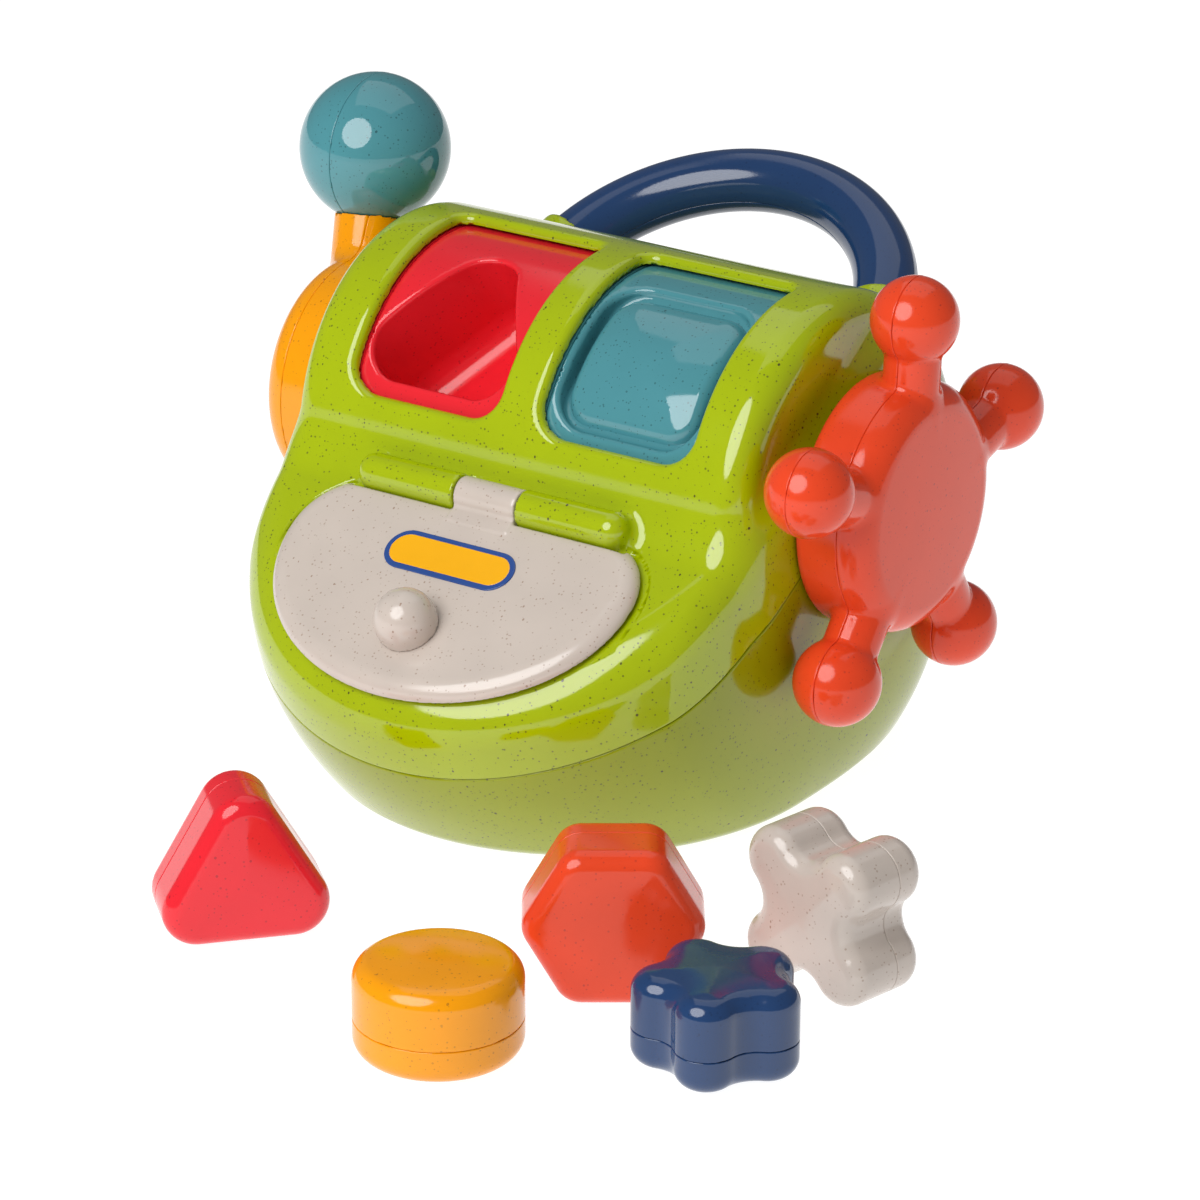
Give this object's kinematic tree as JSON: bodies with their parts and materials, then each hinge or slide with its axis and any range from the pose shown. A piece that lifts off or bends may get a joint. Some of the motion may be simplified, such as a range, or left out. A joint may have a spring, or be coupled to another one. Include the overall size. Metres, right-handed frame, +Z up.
{
  "type": "rolling shape sorter toy",
  "caption": "Rounded toy tub with window drums turned by a crank and a wheel, a hinged front door, an arched carry handle and loose shape blocks.",
  "frame": {"origin": "on the tub's flat underside, straight below the drum axle, midway between the side walls", "axes": "+X towards the wheel, along the drum axle, to the right of someone who faces the door; +Y to the back, away from the door; +Z up"},
  "size_m": [0.3246, 0.3558, 0.2014],
  "materials": {
    "green_shell": "glossy moulded plastic with fine dark specks",
    "red_drum": "glossy moulded plastic with fine dark specks",
    "teal_drum": "glossy moulded plastic with fine dark specks",
    "yellow_crank": "glossy moulded plastic with fine dark specks",
    "teal_ball": "glossy moulded plastic with fine dark specks",
    "orange_wheel": "glossy moulded plastic with fine dark specks",
    "navy_handle": "glossy moulded plastic with fine specks",
    "beige_door": "glossy moulded plastic with fine brown specks",
    "beige_bearing": "satin moulded plastic",
    "badge": "smooth printed label with a blue border, no lettering",
    "steel": "satin steel",
    "red_block": "glossy moulded plastic with fine dark specks",
    "orange_block": "glossy moulded plastic with fine dark specks",
    "beige_block": "glossy moulded plastic with fine brown specks",
    "navy_block": "glossy moulded plastic with fine specks",
    "yellow_block": "glossy moulded plastic with fine dark specks"
  },
  "bodies": {
    "body": {"base_tub": "green_shell", "upper_shell": "green_shell", "centre_bracket": "green_shell", "axle_rod": "steel", "left_bearing": "beige_bearing", "right_bearing": "beige_bearing", "handle_upper_half": "navy_handle", "handle_lower_half": "navy_handle", "hinge_pin": "steel", "shell_screws": "steel", "bracket_screws": "steel"},
    "left_drum": {"left_drum_barrel": "red_drum", "left_drum_inner_cap": "red_drum", "left_drum_outer_cap": "red_drum", "left_cap_screws": "steel", "crank_inner_half": "yellow_crank", "crank_outer_half": "yellow_crank", "crank_ball_inner_half": "teal_ball", "crank_ball_outer_half": "teal_ball"},
    "right_drum": {"right_drum_barrel": "teal_drum", "right_drum_inner_cap": "teal_drum", "right_drum_outer_cap": "teal_drum", "right_cap_screws": "steel", "wheel_inner_half": "orange_wheel", "wheel_outer_half": "orange_wheel"},
    "door": {"door_panel": "beige_door", "door_knob": "beige_door", "door_badge": "badge"},
    "triangle_block": {"triangle_block_front": "red_block", "triangle_block_back": "red_block"},
    "hexagon_block": {"hexagon_block_front": "orange_block", "hexagon_block_back": "orange_block"},
    "cross_block": {"cross_block_front": "beige_block", "cross_block_back": "beige_block"},
    "star_block": {"star_block_top": "navy_block", "star_block_bottom": "navy_block"},
    "round_block": {"round_block_top": "yellow_block", "round_block_bottom": "yellow_block"}
  },
  "joints": [
    {"name": "left_drum_spin", "type": "hinge", "parent": "body", "child": "left_drum", "pos_m": [0, 0, 0.105], "axis": [1, 0, 0], "continuous": true},
    {"name": "right_drum_spin", "type": "hinge", "parent": "body", "child": "right_drum", "pos_m": [0, 0, 0.105], "axis": [1, 0, 0], "continuous": true},
    {"name": "door_hinge", "type": "hinge", "parent": "body", "child": "door", "pos_m": [0, -0.0707, 0.10505], "axis": [-1, 0, 0], "range_deg": [0, 110]},
    {"name": "triangle_block_lift", "type": "slide", "parent": "body", "child": "triangle_block", "axis": [0, 0, 1], "range_m": [0, 0.15]},
    {"name": "hexagon_block_lift", "type": "slide", "parent": "body", "child": "hexagon_block", "axis": [0, 0, 1], "range_m": [0, 0.15]},
    {"name": "cross_block_lift", "type": "slide", "parent": "body", "child": "cross_block", "axis": [0, 0, 1], "range_m": [0, 0.15]},
    {"name": "star_block_lift", "type": "slide", "parent": "body", "child": "star_block", "axis": [0, 0, 1], "range_m": [0, 0.15]},
    {"name": "round_block_lift", "type": "slide", "parent": "body", "child": "round_block", "axis": [0, 0, 1], "range_m": [0, 0.15]}
  ]
}
